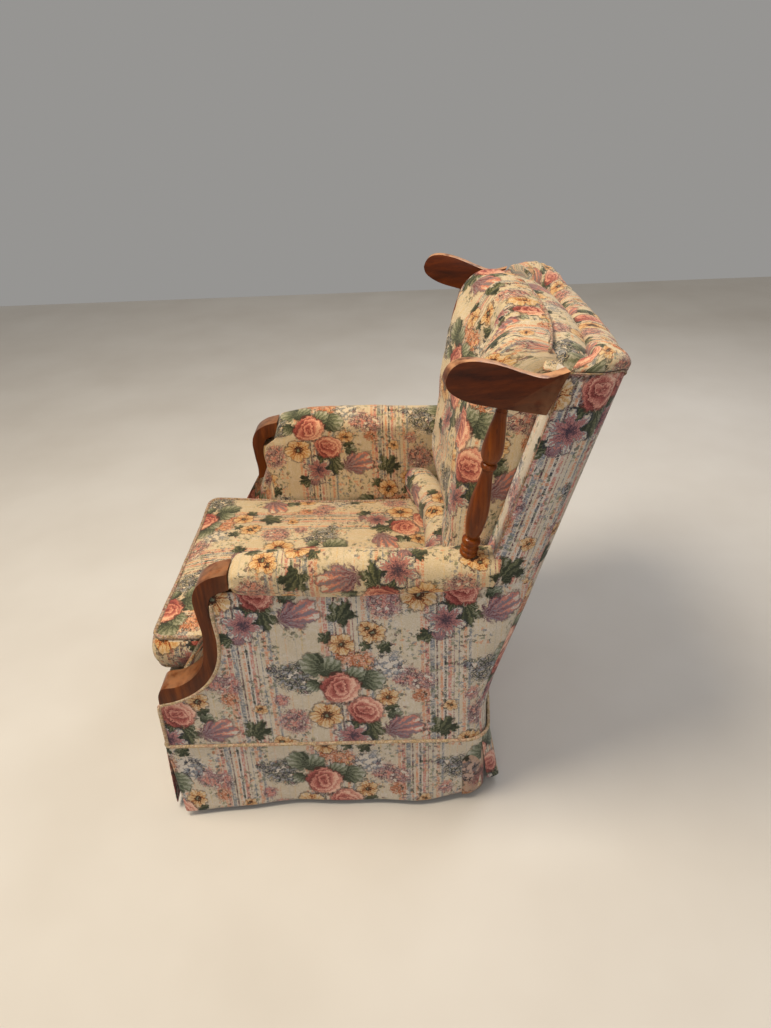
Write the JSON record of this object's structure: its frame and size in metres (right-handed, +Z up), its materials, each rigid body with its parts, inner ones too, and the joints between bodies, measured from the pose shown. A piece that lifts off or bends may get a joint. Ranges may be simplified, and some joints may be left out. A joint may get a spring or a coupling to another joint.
{
  "type": "wing armchair",
  "caption": "Upholstered wing armchair with barrel back, wooden wings on turned spindles, shaped wooden arm fronts, loose box seat cushion and tailored skirt.",
  "frame": {"origin": "centre of the bounding box in plan, on the floor", "axes": "+Z up, front faces -Y, the sitter's left is +X"},
  "size_m": [0.7872, 0.876, 0.9402],
  "materials": {
    "frame_timber": "raw sawn hardwood",
    "leg_wood": "stained, satin",
    "glide_plastic": "matte",
    "show_wood": "stained maple, lacquered",
    "spring_steel": "bright wire",
    "zip_brass": "satin",
    "lining_cloth": "plain cotton over foam",
    "dust_cloth": "black spun cloth",
    "tapestry": "woven floral tapestry with stripes"
  },
  "bodies": {
    "chair_frame": {"front_rail": "frame_timber", "rear_rail": "frame_timber", "side_rail_left": "frame_timber", "side_rail_right": "frame_timber", "seat_back_rail": "frame_timber", "corner_blocks": "frame_timber", "leg_front_left": "leg_wood", "leg_front_right": "leg_wood", "leg_rear_left": "leg_wood", "leg_rear_right": "leg_wood", "leg_glides": "glide_plastic", "back_post_left": "frame_timber", "back_post_right": "frame_timber", "back_top_rail": "frame_timber", "back_lower_rail": "frame_timber", "arm_stump_left": "frame_timber", "arm_stump_right": "frame_timber", "arm_rail_left": "frame_timber", "arm_rail_right": "frame_timber", "seat_springs": "spring_steel", "back_springs": "spring_steel", "spring_clips": "spring_steel", "seat_deck": "lining_cloth", "dust_cover": "dust_cloth", "front_border": "tapestry", "inside_arm_left": "tapestry", "inside_arm_right": "tapestry", "outside_arm_left": "tapestry", "outside_arm_right": "tapestry", "arm_pad_left": "tapestry", "arm_pad_right": "tapestry", "side_border_left": "tapestry", "side_border_right": "tapestry", "outside_back": "tapestry", "rear_wrap": "tapestry", "crest_roll": "tapestry", "inside_back": "lining_cloth", "back_pillow": "tapestry", "lumbar_roll": "tapestry", "tuft_button": "tapestry", "arm_facing_left": "show_wood", "arm_facing_right": "show_wood", "frame_screws": "spring_steel", "wing_left": "show_wood", "wing_right": "show_wood", "wing_screws": "spring_steel", "spindle_left": "show_wood", "spindle_right": "show_wood", "skirt_front": "tapestry", "skirt_rear": "tapestry", "skirt_left": "tapestry", "skirt_right": "tapestry", "corner_pleats": "tapestry", "skirt_welt": "tapestry"},
    "loose_cushion": {"seat_cushion": "tapestry", "cushion_zip": "zip_brass"}
  },
  "joints": [
    {"name": "cushion_slide", "type": "slide", "parent": "chair_frame", "child": "loose_cushion", "axis": [0, -0.9994, 0.0349], "range_m": [0, 0.25]}
  ]
}
